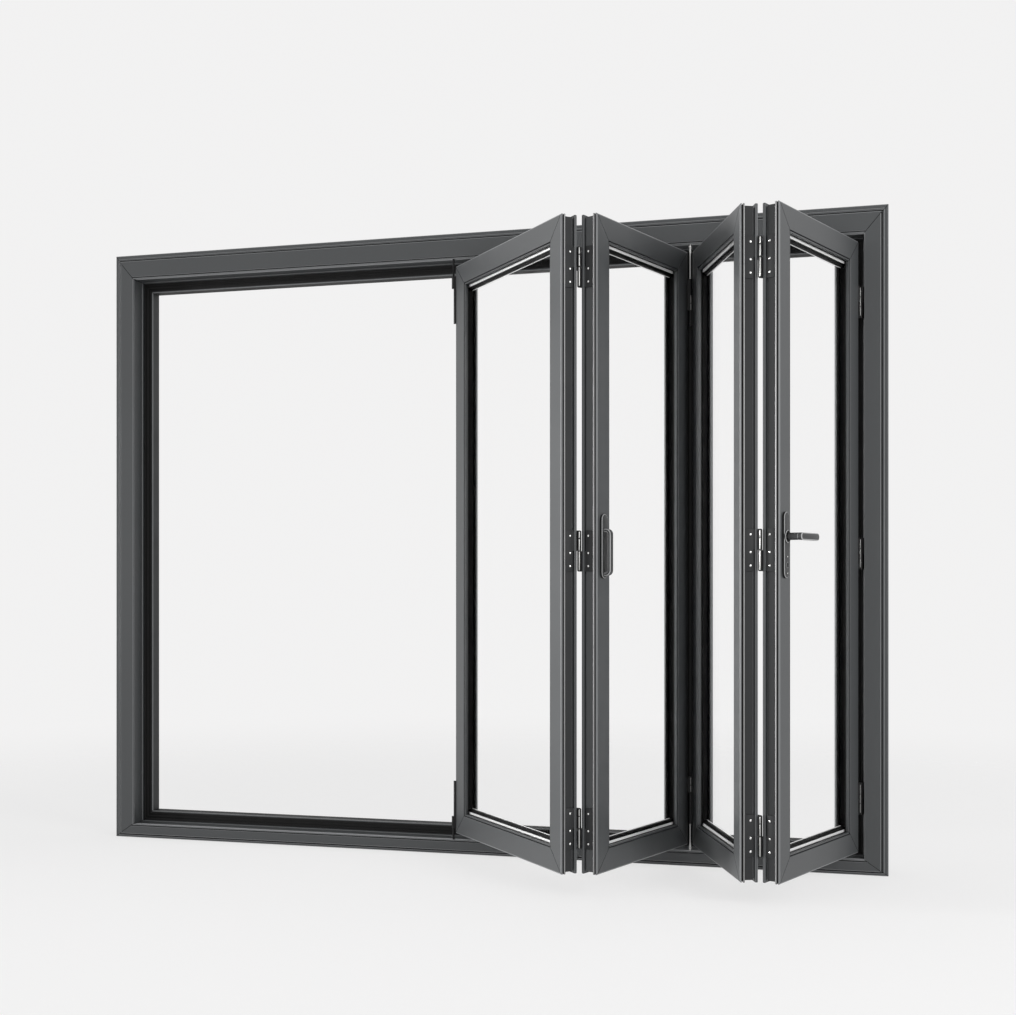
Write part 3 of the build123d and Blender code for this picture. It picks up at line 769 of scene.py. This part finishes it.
def hinge_flap(leaf, right, plate, neck):
    """A plate in the leaf's edge channel and the neck that leaves it under the edge's skin."""
    sign, edge = (1, leaf.width) if right else (-1, 0)

    def out(distance):
        return edge + sign * distance

    floor, lip = sorted((out(-EDGE_CHANNEL), out(PLATE - EDGE_CHANNEL)))
    body = start_box("plate", (floor, CHANNEL[0], plate[0]), (lip, CHANNEL[1], plate[1]))
    round_edges(body, 0.5 * MM)
    behind = leaf.pivots_behind(right)
    start, face = (CHANNEL[1] - MM, LEAF_THICK) if behind else (0, CHANNEL[0] + MM)
    web = start_box("neck", (floor, start, neck[0]), (lip, face, neck[1]))
    way = 1 if behind else -1
    pick(web, "FACE", lambda f: f.normal.y * way > 0.9)
    pull(out(HALF_GAP - KNUCKLE / 2) - (floor + lip) / 2, PROUD * way, 0)
    object_mode()
    round_edges(web, 0.4 * MM)
    return place(join([body, web], "flap"), leaf.matrix)


def edge_matrix(leaf, right, height):
    """Where a screw goes on the plate at a leaf's edge."""
    lift = PLATE - EDGE_CHANNEL
    x = leaf.width + lift if right else -lift
    turn = Matrix.Rotation(math.pi / 2 if right else -math.pi / 2, 4, "Y")
    return leaf.matrix @ Matrix.Translation((x, SCREW_DEPTH, height)) @ turn


def pin_highlight_beads(point, heights, lengths, radius, toward, sink):
    """The steel pin that shows along the open side of the knuckles, as a row of rounded lengths, painted
    bright as the knuckles' highlight.
    """
    x, y = point.x + toward.x * sink, point.y + toward.y * sink
    return [capsule("bead", radius, x, y, point.z + height + a * MM, point.z + height + b * MM,
                    radius * 0.8, 20) for height in heights for a, b in lengths]


class DOOR_OT_hinges(bpy.types.Operator):
    """Make the knuckles, pins that stand in for their highlight, plates and screws of every hinge between the
    leaves and at the jamb
    """
    bl_idname = "door.hinges"
    bl_label = "Hinges"

    def execute(self, context):
        hardware = context.scene.door.hardware
        radius, rounding = hardware.screw / 2, hardware.knuckle_round
        leaves = {n: LeafPlace(n) for n in LEAVES}
        for number in (1, 3):
            self.apex(leaves[number], leaves[number + 1], radius, rounding)
        self.carried("hinges_2_3", leaves[2], TRACK_HEIGHTS, TRACK_PIN_HIGHLIGHT)
        self.carried("hinges_4_jamb", leaves[4], JAMB_HEIGHTS, JAMB_PIN_HIGHLIGHT)
        return {"FINISHED"}

    def apex(self, left, right, radius, rounding):
        """Three hinges where two leaves meet away from the track."""
        node = f"hinges_{left.number}_{right.number}"
        point = left.pivot(True)
        toward = (left.along - right.along).normalized()
        flaps, knuckles, beads, screws, recesses = [], [], [], [], []
        for height in APEX_HEIGHTS:
            low, high = height - HINGE_HALF, height + HINGE_HALF
            flaps.append(hinge_flap(left, True, (low, high), (height + SEAM / 2, high)))
            flaps.append(hinge_flap(right, False, (low, high), (low, height - SEAM / 2)))
            for a, b, top in ((low, height - SEAM / 2, False), (height + SEAM / 2, high, True)):
                knuckles.append(knuckle(point, point.z + a, point.z + b, top, rounding))
            beads += pin_highlight_beads(point, (height,), *APEX_PIN_HIGHLIGHT, toward, APEX_SINK)
            for offset in SCREW_PLACES:
                for leaf, side in ((left, True), (right, False)):
                    matrix = edge_matrix(leaf, side, height + offset)
                    screws.append(screw("screw", radius, matrix))
                    recesses.append(recess("recess", radius, matrix))
        # The plates take the channel's darker coat, which is painted shade.
        finish_piece(join(flaps, f"{node}_plates"), "shaded_coat", "powder_coat", node)
        # The countersinks round the screws are painted black as their shade, and join the knuckles.
        finish_piece(join(knuckles + recesses, f"{node}_knuckles"), "black", "black_metal", node)
        # The pin strips are a painted highlight along the knuckles.
        finish_piece(join(beads, f"{node}_pins"), "pin", "steel", node)
        finish_piece(join(screws, f"{node}_screws"), "screw", "steel")

    def carried(self, node, leaf, heights, pin):
        """Hinges under the track or on the jamb, as they are in the solids, with the pins that show, painted
        bright as the knuckles' highlight.
        """
        piece = dressed_copy(node, f"{node}_knuckles", 0.8 * MM, plain=True)
        finish_piece(piece, "black", "black_metal", node)
        beads = pin_highlight_beads(leaf.pivot(True), heights, *pin)
        finish_piece(join(beads, f"{node}_pins"), "pin", "steel", node)


class DOOR_OT_pivots(bpy.types.Operator):
    """Make the end brackets, the pivot rods with their collars and the carriages in the tracks"""
    bl_idname = "door.pivots"
    bl_label = "Pivots and carriages"

    def execute(self, context):
        for node, width, name, slot in (
                ("end_brackets", 1.0 * MM, "black", "black_metal"),
                ("track_carriages", 1.2 * MM, "black", "black_metal"),
                ("carriage_wheels", 0.8 * MM, "nylon", "nylon"),
                ("head_track", 0.3 * MM, "alloy", "track_alloy"),
                ("sill_track", 0.3 * MM, "alloy", "track_alloy")):
            piece = dressed_copy(node, f"{node}_finished", width, plain=True)
            finish_piece(piece, name, slot, node)
        rods = dressed_copy("pivot_rods", "pivot_rods_bare", 0.5 * MM, plain=True)
        point = LeafPlace(2).pivot(True)
        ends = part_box("leaf2_rail_top")[1][2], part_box("leaf2_rail_bottom")[0][2]
        collars = [capsule("collar", COLLAR, point.x, point.y, end + low, end + high, COLLAR * 0.6)
                   for end, (low, high) in zip(ends, COLLAR_SPANS)]
        rods = join([rods, *collars], "pivot_rods_finished")
        # Rods left of that line are painted black as shade.
        paint(rods, ["pin", "black"], lambda f: int(f.center.x < ROD_SHADE_X))
        declare(rods, "steel", "pivot_rods")
        return {"FINISHED"}


SKIRT, SKIRT_SET, SKIRT_WALL = 13 * MM, 3.8 * MM, 1.6 * MM    # radius, its middle before the pivot, thickness
FOOT_IN, FOOT_OUT = 4.6 * MM, 0.8 * MM    # how far the skirt's feet reach in and out at a leaf's edge
HINGE_TALL = 52 * MM      # half the height kept clear for a hinge under the track


class DOOR_OT_fold_seal(bpy.types.Operator):
    """Make the rubber skirt that closes the gap behind the hinges under the track"""
    bl_idname = "door.fold_seal"
    bl_label = "Fold seal"

    def execute(self, context):
        left, right = LeafPlace(2), LeafPlace(3)
        point = left.pivot(True)
        skirt = start_round("skirt", SKIRT, (point.x, point.y - SKIRT_SET, point.z),
                            (point.x, point.y - SKIRT_SET, point.z + left.height))
        pick(skirt, "FACE", lambda f: abs(f.normal.z) > 0.9)
        bpy.ops.mesh.delete(type="FACE")
        bpy.ops.mesh.select_all(action="SELECT")
        bpy.ops.mesh.bisect(plane_co=(point.x, point.y - 1 * MM, 0), plane_no=(0, 1, 0), clear_inner=True)
        object_mode()
        modify(skirt, "SOLIDIFY", thickness=SKIRT_WALL)
        smooth(skirt)
        skirts = [skirt]
        stops = (0.0, *(h + side * HINGE_TALL for h in TRACK_HEIGHTS for side in (-1, 1)), left.height)
        for low, high in zip(stops[::2], stops[1::2]):
            for leaf, edge, sign in ((left, left.width, 1), (right, 0, -1)):
                x0, x1 = sorted((edge - sign * FOOT_IN, edge + sign * FOOT_OUT))
                foot = start_box("foot", (x0, EDGE_GROOVE[0], low), (x1, EDGE_GROOVE[1], high))
                round_edges(foot, 0.6 * MM)
                skirts.append(place(foot, leaf.matrix))
        finish_piece(join(skirts, "fold_seal"), "rubber", "seal_rubber")
        return {"FINISHED"}


# Handles, in their leaf's own place, at the middle of its left stile

HANDLE_X = 34 * MM
PLATE_Z = 953 * MM
PLATE_SIZE = (34 * MM, 188 * MM, 7 * MM)
COVER = 2.5 * MM          # of the plate's thickness
BOW_DROP = 18 * MM
BOW_HIGH, BOW_OUT, BOW_WIDE, BOW_THICK, BOW_BEND = 136 * MM, 30 * MM, 18 * MM, 9 * MM, 16 * MM
LEVER_Z = 977 * MM
CYLINDER_Z = 896 * MM
PLATE_SCREWS, PLATE_SCREW_X, PLATE_SCREW = (920 * MM, 873 * MM), HANDLE_X + 2 * MM, 2.6 * MM
ROSE, ROSE_OUT, ROSE_RIM = 18 * MM, 4 * MM, 8 * MM
GRIP_OUT, GRIP_THICK, GRIP_HIGH, GRIP_LONG, GRIP_END = 56 * MM, 15 * MM, 21 * MM, 112 * MM, 10.4 * MM
SHAFT = 8 * MM
BARREL = 8.5 * MM
KEY_WIDE, KEY_HIGH = 1.8 * MM, 9 * MM
# Handle finishes: the face, a rim painted lighter as a highlight, near-black, and bright screws.
HANDLE_COAT = ["handle", "rim", "joint", "screw"]
RIM_HIGHLIGHT, NEAR_BLACK, BRIGHT = 1, 2, 3


def along_depth(piece):
    """A test for the edges of a piece that run from front to back."""
    points = piece.data.vertices
    return lambda e: abs((points[e.vertices[0]].co - points[e.vertices[1]].co).normalized().y) > 0.99


def backplate(name):
    """A long plate with half-round ends: a dark carrier under a thinner coated cover."""
    wide, high, out = PLATE_SIZE
    parts = []
    for label, inset, y0, y1, rim in (("carrier", 0.0, -(out - COVER), 0.0, 0.5 * MM),
                                      ("cover", 0.6 * MM, -out, COVER - out, 1.4 * MM)):
        half_wide, half_high = wide / 2 - inset, high / 2 - inset
        part = start_box(label, (HANDLE_X - half_wide, y0, PLATE_Z - half_high),
                         (HANDLE_X + half_wide, y1, PLATE_Z + half_high))
        paint(part, HANDLE_COAT)
        round_picked(part, "EDGE", along_depth(part), half_wide - 0.01 * MM, 20)
        # The cover's front rim is painted lighter as a highlight.
        round_picked(part, "FACE", lambda f: f.normal.y < -0.9, rim, 3, RIM_HIGHLIGHT)
        if label == "carrier":
            paint(part, HANDLE_COAT, lambda f: NEAR_BLACK)
        smooth(part, 40)
        parts.append(part)
    return join(parts, name)


def disc(name, radius, z, y0, y1, rim, sides=56):
    """A round plate on the handle's line, with a rounded front rim painted lighter as a highlight."""
    piece = start_round(name, radius, (HANDLE_X, y0, z), (HANDLE_X, y1, z), along="Y", sides=sides)
    paint(piece, HANDLE_COAT)
    round_picked(piece, "FACE", lambda f: f.normal.y < -0.9, rim, 3, RIM_HIGHLIGHT)
    smooth(piece, 40)
    return piece


class DOOR_OT_pull(bpy.types.Operator):
    """Make the pull handle: a long backplate and a bow bent from flat bar"""
    bl_idname = "door.pull"
    bl_label = "Pull handle"

    def execute(self, context):
        leaf = LeafPlace(2)
        plate = place(backplate("pull_backplate"), leaf.matrix)
        declare(plate, "black_metal", "pull_plate")
        declare(place(self.bow(), leaf.matrix), "black_metal", "pull_grip")
        return {"FINISHED"}

    def bow(self):
        """A flat bar that leaves the plate, turns down, and comes back to the plate."""
        half, centre = BOW_HIGH / 2, PLATE_Z - BOW_DROP
        left, right = HANDLE_X - BOW_WIDE / 2, HANDLE_X + BOW_WIDE / 2
        root, bend_y = -PLATE_SIZE[2], -BOW_OUT + BOW_BEND
        bar = start_box("pull_bow", (left, bend_y, centre + half - BOW_THICK), (right, root, centre + half))
        paint(bar, HANDLE_COAT)
        pick(bar, "FACE", lambda f: f.normal.y < -0.9)
        quarter = {"steps": 10, "angle": -math.pi / 2, "axis": (1, 0, 0)}
        bpy.ops.mesh.spin(center=(0, bend_y, centre + half - BOW_BEND), **quarter)
        pull(0, 0, 2 * BOW_BEND - BOW_HIGH)
        bpy.ops.mesh.spin(center=(0, bend_y, centre - half + BOW_BEND), **quarter)
        pull(0, root - bend_y, 0)
        bpy.ops.mesh.select_all(action="SELECT")
        bpy.ops.mesh.remove_doubles(threshold=1e-6)
        bpy.ops.mesh.normals_make_consistent(inside=False)
        object_mode()
        # The bow's rounded edges are painted lighter as a highlight.
        modify(bar, "BEVEL", width=2.2 * MM, segments=3, limit_method="ANGLE", angle_limit=math.radians(50),
               material=RIM_HIGHLIGHT)
        smooth(bar, 40)
        return bar


class DOOR_OT_lever(bpy.types.Operator):
    """Make the lever handle, its backplate and rose, the lock cylinder and their screws"""
    bl_idname = "door.lever"
    bl_label = "Lever handle"

    def execute(self, context):
        leaf = LeafPlace(4)
        out = PLATE_SIZE[2]
        rose = disc("rose", ROSE, LEVER_Z, -out - ROSE_OUT, -out, 1.5 * MM)
        dish(rose, lambda f: f.normal.y < -0.99, ROSE_RIM, 0, 3 * MM, 0)
        paint(rose, HANDLE_COAT, lambda f: f.material_index or NEAR_BLACK)
        heads = []
        for z in PLATE_SCREWS:
            turn = Matrix.Translation((PLATE_SCREW_X, -out, z)) @ Matrix.Rotation(math.pi / 2, 4, "X")
            # Each plate screw sits in a countersink painted near-black as its shade.
            for make, finish in ((screw, BRIGHT), (recess, NEAR_BLACK)):
                heads.append(paint(make("plate_screw", PLATE_SCREW, turn), HANDLE_COAT, lambda f: finish))
        plate = join([backplate("lever_backplate"), rose, *heads], "lever_backplate")
        declare(place(plate, leaf.matrix), "black_metal", "lever_plate")
        declare(place(self.lever(), leaf.matrix), "black_metal", "lever_handle", body="lever")
        declare(place(self.cylinder(), leaf.matrix), "steel", "lock_cylinder")
        return {"FINISHED"}

    def lever(self):
        """A round neck that carries a flat grip with a round boss at one end."""
        half, back, front = GRIP_HIGH / 2, GRIP_THICK - GRIP_OUT, -PLATE_SIZE[2] - 5 * MM
        neck = disc("neck", half, LEVER_Z, back - 2 * MM, front, 0.4 * MM, sides=48)
        round_picked(neck, "FACE", lambda f: f.normal.y > 0.9, 1.2 * MM, 3)
        shaft = disc("shaft", SHAFT, LEVER_Z, front - 1 * MM, front + 3 * MM, 0.3 * MM, sides=40)
        grip = start_box("grip", (HANDLE_X - half, -GRIP_OUT, LEVER_Z - half),
                         (HANDLE_X + GRIP_LONG, back, LEVER_Z + half))
        paint(grip, HANDLE_COAT)
        for left, radius in ((True, half - 0.01 * MM), (False, GRIP_END)):
            points, deep = grip.data.vertices, along_depth(grip)
            round_picked(grip, "EDGE", lambda e: deep(e) and (
                points[e.vertices[0]].co.x < HANDLE_X + half) == left, radius, 14)
        # The grip's rims are painted lighter as a highlight.
        round_picked(grip, "FACE", lambda f: abs(f.normal.y) > 0.9, 2.4 * MM, 4, RIM_HIGHLIGHT)
        smooth(grip, 40)
        return join([grip, neck, shaft], "lever_grip")

    def cylinder(self):
        """The end of the lock cylinder, dished, with the slot for a key painted near-black as its shade."""
        out = PLATE_SIZE[2]
        barrel = disc("barrel", BARREL, CYLINDER_Z, -out - 1.5 * MM, -out, 0.5 * MM)
        dish(barrel, lambda f: f.normal.y < -0.99, 1.6 * MM, 0, 0.5 * MM, 0)
        wide, high = KEY_WIDE / 2, KEY_HIGH / 2
        slot = start_box("key_slot", (HANDLE_X - wide, -out - 1.1 * MM, CYLINDER_Z - high),
                         (HANDLE_X + wide, -out - 0.8 * MM, CYLINDER_Z + high))
        round_edges(slot, 0.1 * MM)
        # The key slot is a thin near-black sheet, painted as the slot's shade.
        paint(slot, HANDLE_COAT, lambda f: NEAR_BLACK)
        return join([barrel, slot], "lock_barrel")


# Small studio

CAMERA_PLACE = (1.3293, -4.5612, 0.9101)
CAMERA_TURN = 0.262
FOCAL_PIXELS = 1393.7
PICTURE_WIDE, PICTURE_HIGH = 1016, 1015
HORIZON_ROW = 585.0
FLOOR_CALM = 0.72         # share of the floor that shows the background's own tone
FLOOR_LIFT = 1.04
FLOOR_NEAR = 1.8          # radius at which the floor starts to fade, in metres
GLASS_FACES = 40          # from the side a line of sight crosses the panes of all four leaves


def pale(level):
    """The background's colour at a level."""
    return level, level * 0.996, level * 0.996, 1


def mixed(tree, share, first, second):
    """The first shader where the share is 0, and the second where it is 1."""
    mix = add(tree, "MixShader")
    for source, socket in zip((share, first, second), mix.inputs):
        tree.links.new(source, socket)
    return mix.outputs[0]


def background_rays(tree):
    """1 for rays from the camera and for mirrored or transmitted ones, 0 for the rest."""
    path = add(tree, "LightPath")
    seen = path.outputs["Is Camera Ray"]
    for label in ("Is Glossy Ray", "Is Transmission Ray"):
        either = add(tree, "Math", operation="MAXIMUM")
        tree.links.new(seen, either.inputs[0])
        tree.links.new(path.outputs[label], either.inputs[1])
        seen = either.outputs[0]
    return seen


def make_world(values):
    world = bpy.data.worlds.new("Pale studio")
    bpy.context.scene.world = world
    world.use_nodes = True
    tree = world.node_tree
    seen, light = tree.nodes["Background"], add(tree, "Background")
    fill(seen, {"Color": pale(values.background)})
    fill(light, {"Color": (1, 1, 1, 1), "Strength": values.ambient})
    both = mixed(tree, background_rays(tree), light.outputs[0], seen.outputs[0])
    tree.links.new(both, tree.nodes["World Output"].inputs["Surface"])


def soft_light(name, location, target, power, spread=180):
    """A large soft rectangle that glass doesn't show when it is looked through."""
    bpy.ops.object.select_all(action="DESELECT")
    bpy.ops.object.light_add(type="AREA", location=location)
    lamp = bpy.context.object
    lamp.name = lamp.data.name = name
    lamp.data.shape = "RECTANGLE"
    lamp.data.size, lamp.data.size_y = 1.8, 2.6
    lamp.data.energy = power
    lamp.data.spread = math.radians(spread)
    lamp.visible_transmission = False
    lamp.rotation_euler = (Vector(target) - Vector(location)).to_track_quat("-Z", "Y").to_euler()


def floor_finish(values):
    """A pale matt floor that fades into the background, and keeps a soft shadow."""
    finish, tree, shader = new_finish("Pale floor")
    link = tree.links.new
    fill(shader, {"Base Color": (0.9, 0.9, 0.9, 1), "Roughness": 0.9, "Specular IOR Level": 0.0})
    glow = add(tree, "Emission")
    fill(glow, {"Color": pale(values.background * FLOOR_LIFT)})
    seen = add(tree, "Math", operation="MULTIPLY")
    seen.inputs[1].default_value = FLOOR_CALM
    link(background_rays(tree), seen.inputs[0])
    calm = mixed(tree, seen.outputs[0], shader.outputs[0], glow.outputs[0])
    where = add(tree, "TexCoord")
    away = add(tree, "VectorMath", operation="LENGTH")
    fade = add(tree, "MapRange", interpolation_type="SMOOTHSTEP")
    fill(fade, {"From Min": FLOOR_NEAR, "From Max": values.floor_reach, "To Min": 1.0, "To Max": 0.0})
    link(where.outputs["Object"], away.inputs[0])
    link(away.outputs["Value"], fade.inputs["Value"])
    clear = add(tree, "BsdfTransparent")
    both = mixed(tree, fade.outputs["Result"], clear.outputs[0], calm)
    link(both, tree.nodes["Material Output"].inputs["Surface"])
    return finish


class DOOR_OT_studio(bpy.types.Operator):
    """Make the pale floor, the soft lights, the background and the camera"""
    bl_idname = "door.studio"
    bl_label = "Studio"

    def execute(self, context):
        values = context.scene.door.studio
        make_world(values)
        bpy.ops.object.select_all(action="DESELECT")
        bpy.ops.mesh.primitive_circle_add(vertices=96, radius=values.floor_reach, fill_type="NGON",
                                          location=(0, 0, -0.5 * MM))
        floor = named(bpy.context.object, "studio_floor")
        bake()
        floor.data.materials.append(floor_finish(values))
        soft_light("Left soft light", (-6.8, -2.6, 1.6), (1.0, -1.6, 1.0), values.left_power, 42)
        soft_light("Right soft light", (4.2, -3.0, 2.2), (0.8, -0.2, 1.0), values.right_power)
        bpy.ops.object.select_all(action="DESELECT")
        bpy.ops.object.camera_add(location=CAMERA_PLACE, rotation=(math.pi / 2, 0, CAMERA_TURN))
        camera = bpy.context.object
        camera.name = "Camera"
        camera.data.sensor_width = 36
        camera.data.lens = FOCAL_PIXELS / PICTURE_WIDE * camera.data.sensor_width
        camera.data.shift_y = (HORIZON_ROW - PICTURE_HIGH / 2) / PICTURE_WIDE
        context.scene.camera = camera
        context.scene.view_settings.view_transform = "Standard"
        context.scene.cycles.transparent_max_bounces = GLASS_FACES
        return {"FINISHED"}


class DoorSettings(bpy.types.PropertyGroup):
    profiles: PointerProperty(type=ProfileSettings)
    glazing: PointerProperty(type=GlazingSettings)
    hardware: PointerProperty(type=HardwareSettings)
    studio: PointerProperty(type=StudioSettings)


class DOOR_PT_panel(bpy.types.Panel):
    """The steps that dress the door"""
    bl_idname = "DOOR_PT_panel"
    bl_label = "Bifold door"
    bl_space_type = "VIEW_3D"
    bl_region_type = "UI"
    bl_category = "Door"

    def draw(self, context):
        for step in STEPS:
            self.layout.operator(step.bl_idname)


STEPS = (DOOR_OT_frame_profiles, DOOR_OT_leaf_profiles, DOOR_OT_seals, DOOR_OT_glazing, DOOR_OT_hinges,
         DOOR_OT_pivots, DOOR_OT_fold_seal, DOOR_OT_pull, DOOR_OT_lever, DOOR_OT_studio)
CLASSES = (ProfileSettings, GlazingSettings, HardwareSettings, StudioSettings, DoorSettings, *STEPS,
           DOOR_PT_panel)


def register():
    for item in CLASSES:
        bpy.utils.register_class(item)
    bpy.types.Scene.door = PointerProperty(type=DoorSettings)


def unregister():
    del bpy.types.Scene.door
    for item in reversed(CLASSES):
        bpy.utils.unregister_class(item)


def main():
    register()
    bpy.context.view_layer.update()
    make_finishes(bpy.context.scene.door)
    for step in STEPS:
        group, name = step.bl_idname.split(".")
        getattr(getattr(bpy.ops, group), name)()


if __name__ == "__main__":
    main()
